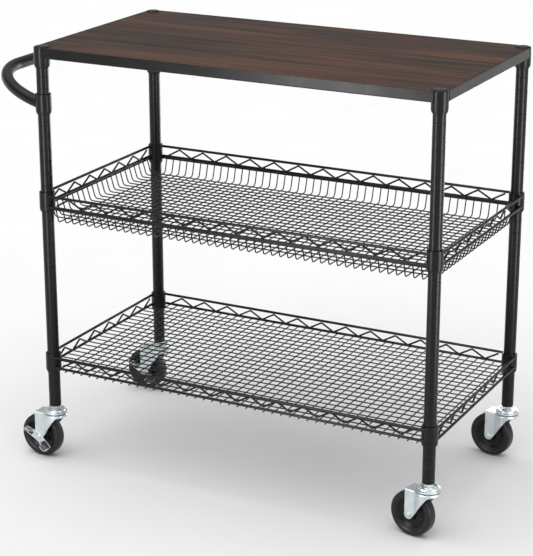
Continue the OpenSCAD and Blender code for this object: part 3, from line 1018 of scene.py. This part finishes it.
def arm_point(angle, along, across):
    """A 2D point given along and across one arm of the brake rocker."""
    return Vector((along * math.cos(angle) - across * math.sin(angle),
                   along * math.sin(angle) + across * math.cos(angle)))


def pedal_solid(angle):
    """The flange that the foot presses: it follows the arm's side and hooks round its end.

    It rises from its first point, and drops to the hook's height over its last stretch."""
    corners = [(13 * MM, -ARM_HALF + 1 * MM), (19 * MM, -ARM_HALF), (ARM_LEN, -ARM_HALF),
               (ARM_LEN, ARM_HALF - 1 * MM)]
    path = rounded(flat_points(*corners), [0, 6 * MM, 6 * MM, 0], steps=7)
    last = len(path) - 1
    round_off = 0.35 * MM
    drop_from = 0.55
    start_share = 0.45
    rings = []
    for i, point in enumerate(path):
        along = (path[min(i + 1, last)] - path[max(i - 1, 0)]).normalized()
        inward = Vector((-along.y, along.x))
        share = i / last
        dropped = max(0.0, share - drop_from) / (1 - drop_from)
        height = FLANGE_H - (FLANGE_H - HOOK_H) * dropped
        height *= min(1.0, start_share + share * 3)
        ring = []
        for depth, z in ((0, 0), (BRAKE_T, 0), (BRAKE_T, height - round_off),
                         (BRAKE_T - round_off, height), (round_off, height),
                         (0, height - round_off)):
            spot = point + inward * depth
            flat = arm_point(angle, spot.x, spot.y)
            ring.append(Vector((flat.x, flat.y, z)))
        rings.append(ring)
    return skin(rings)


def brake_solid():
    """The rocker plate on the near leg with a pedal on each arm."""
    left, right = ARM_ANGLES
    between = (left + right) / 2
    corners = [arm_point(left, ARM_LEN, -ARM_HALF), arm_point(left, ARM_LEN, ARM_HALF),
               arm_point(between, 11.5 * MM, 0),
               arm_point(right, ARM_LEN, -ARM_HALF), arm_point(right, ARM_LEN, ARM_HALF),
               arm_point(between, -8 * MM, 0)]
    radii = [5 * MM, 3 * MM, 40 * MM, 5 * MM, 3 * MM, 24 * MM]
    outline = rounded(corners, radii, closed=True, steps=8)
    solid = merged(plate(outline, BRAKE_T, 0.35 * MM), *[pedal_solid(a) for a in ARM_ANGLES])
    return placed(solid, Matrix.Translation((0, 0, BRAKE_Y)))


def grip_solid():
    """The dark tread on the face of each arm, inside its pedal flange."""
    near, far = 13 * MM, 34.2 * MM
    flange_side, free_side = -5 * MM, 6.2 * MM
    taper = 3 * MM
    sunk = 0.05 * MM
    pads = []
    for angle in ARM_ANGLES:
        corners = [arm_point(angle, near, flange_side), arm_point(angle, far, flange_side),
                   arm_point(angle, far, free_side), arm_point(angle, near + taper, free_side)]
        outline = rounded(corners, 2.2 * MM, closed=True, steps=5)
        pads.append(plate(outline, 0.5 * MM, 0.2 * MM))
    return placed(merged(*pads), Matrix.Translation((0, 0, BRAKE_Y + BRAKE_T - sunk)))


add_piece("stems_with_hex", at_posts(stem_solid(), 0), "zinc_steel", "frame", "caster_stems")
add_piece("upper_races", at_posts(race_solid(), 0), "zinc_steel", "frame", "caster_race_caps")
for corner in CORNERS:
    swivel, wheel = f"swivel_{corner}", f"wheel_{corner}"
    axle_place = on_axle(corner)
    add_piece(f"{corner}_pressed_fork", placed(fork_solid(), on_corner(corner)), "zinc_steel",
              swivel, f"fork_{corner}")
    add_piece(f"{corner}_axle_bolt", placed(axle_solid(corner in BRAKED), axle_place),
              "zinc_steel", swivel, f"axle_{corner}")
    add_piece(f"{corner}_tyre", placed(tyre_solid(), axle_place), "tyre_rubber", wheel,
              f"tyre_{corner}")
    add_piece(f"{corner}_wheel_centre", placed(core_solid(), axle_place), "black_plastic", wheel,
              f"core_{corner}")
    keep_node(f"balls_{corner}", "zinc_steel")
    keep_node(f"bush_{corner}", "zinc_steel")
    if corner in BRAKED:
        add_piece(f"{corner}_brake_rocker", placed(brake_solid(), axle_place), "zinc_steel",
                  f"brake_lever_{corner}", f"brake_{corner}")
        add_piece(f"{corner}_pedal_grips", placed(grip_solid(), axle_place), "pedal_grip",
                  f"brake_lever_{corner}", f"brake_{corner}")
keep_node("board_screws", "zinc_steel")
keep_node("post_inserts", "black_plastic")


# ---- Studio ----

def look_at(thing, place, aim):
    """Puts a camera or lamp in the scene, facing the aim."""
    thing.location = place
    thing.rotation_mode = "QUATERNION"
    thing.rotation_quaternion = (aim - place).to_track_quat("-Z", "Y")
    bpy.context.scene.collection.objects.link(thing)


def around(aim, azimuth, elevation, distance):
    """A place seen from the aim. Azimuth 0 is in front of the cart and 90 is past its +X end."""
    a, e = math.radians(azimuth), math.radians(elevation)
    return aim + distance * Vector((math.sin(a) * math.cos(e), -math.cos(a) * math.cos(e),
                                    math.sin(e)))


def strip_light(name, azimuth, distance, width, height, radiance):
    """An upright light, standing on the floor, seen only in glossy reflections."""
    light = bpy.data.lights.new(name, "AREA")
    light.shape = "RECTANGLE"
    light.size = width
    light.size_y = height
    light.energy = radiance * math.pi * width * height
    lamp = bpy.data.objects.new(name, light)
    lamp.visible_camera = False
    lamp.visible_diffuse = False
    aim = Vector((MID.x, MID.y, height / 2))
    look_at(lamp, around(aim, azimuth, 0, distance), aim)


def sky_light():
    """An even light from above that keeps the whole floor pale."""
    light = bpy.data.lights.new("sky_light", "SUN")
    light.energy = 1.25
    light.angle = math.radians(70)
    lamp = bpy.data.objects.new("sky_light", light)
    aim = Vector((MID.x, MID.y, 0))
    look_at(lamp, around(aim, -20, 72, 3), aim)


def studio_floor():
    """A floor that reaches past the horizon of every view."""
    size = 40.0
    mesh = bpy.data.meshes.new("studio_floor")
    corners = [(-size, -size, 0), (size, -size, 0), (size, size, 0), (-size, size, 0)]
    mesh.from_pydata(corners, [], [[0, 1, 2, 3]])
    mesh.materials.append(studio_paper())
    floor = bpy.data.objects.new("studio_floor", mesh)
    bpy.context.scene.collection.objects.link(floor)


def studio_world():
    """A soft dome: brightest overhead, and pale at the horizon where the floor ends."""
    world = bpy.data.worlds.new("studio_world")
    world.use_nodes = True
    tree = world.node_tree
    direction = add_node(tree, "ShaderNodeTexCoord").outputs["Generated"]
    height = add_node(tree, "ShaderNodeSeparateXYZ", {"Vector": direction}).outputs["Z"]
    tone = ramp(tree, height, [
        (0.1, grey(0.95)), (0.2, grey(0.32)), (0.4, grey(0.30)), (0.85, grey(1.05))])
    tree.links.new(tone, tree.nodes["Background"].inputs["Color"])
    bpy.context.scene.world = world


studio_floor()
studio_world()
sky_light()
strip_light("front_strip", azimuth=-13, distance=1.5, width=0.30, height=1.7, radiance=10)
strip_light("right_strip", azimuth=79, distance=1.5, width=0.30, height=1.7, radiance=10)
strip_light("back_strip", azimuth=178, distance=1.6, width=0.40, height=0.9, radiance=8)

camera_aim = Vector((0.0349, MID.y, 0.4034))
camera_data = bpy.data.cameras.new("product_camera")
camera_data.sensor_width = 36
camera_data.lens = 119.9
camera_data.clip_end = 100
camera = bpy.data.objects.new("product_camera", camera_data)
camera_place = around(camera_aim, azimuth=27.25, elevation=18.58, distance=3.91)
look_at(camera, camera_place, camera_aim)
bpy.context.scene.camera = camera
bpy.context.scene.view_settings.view_transform = "Standard"
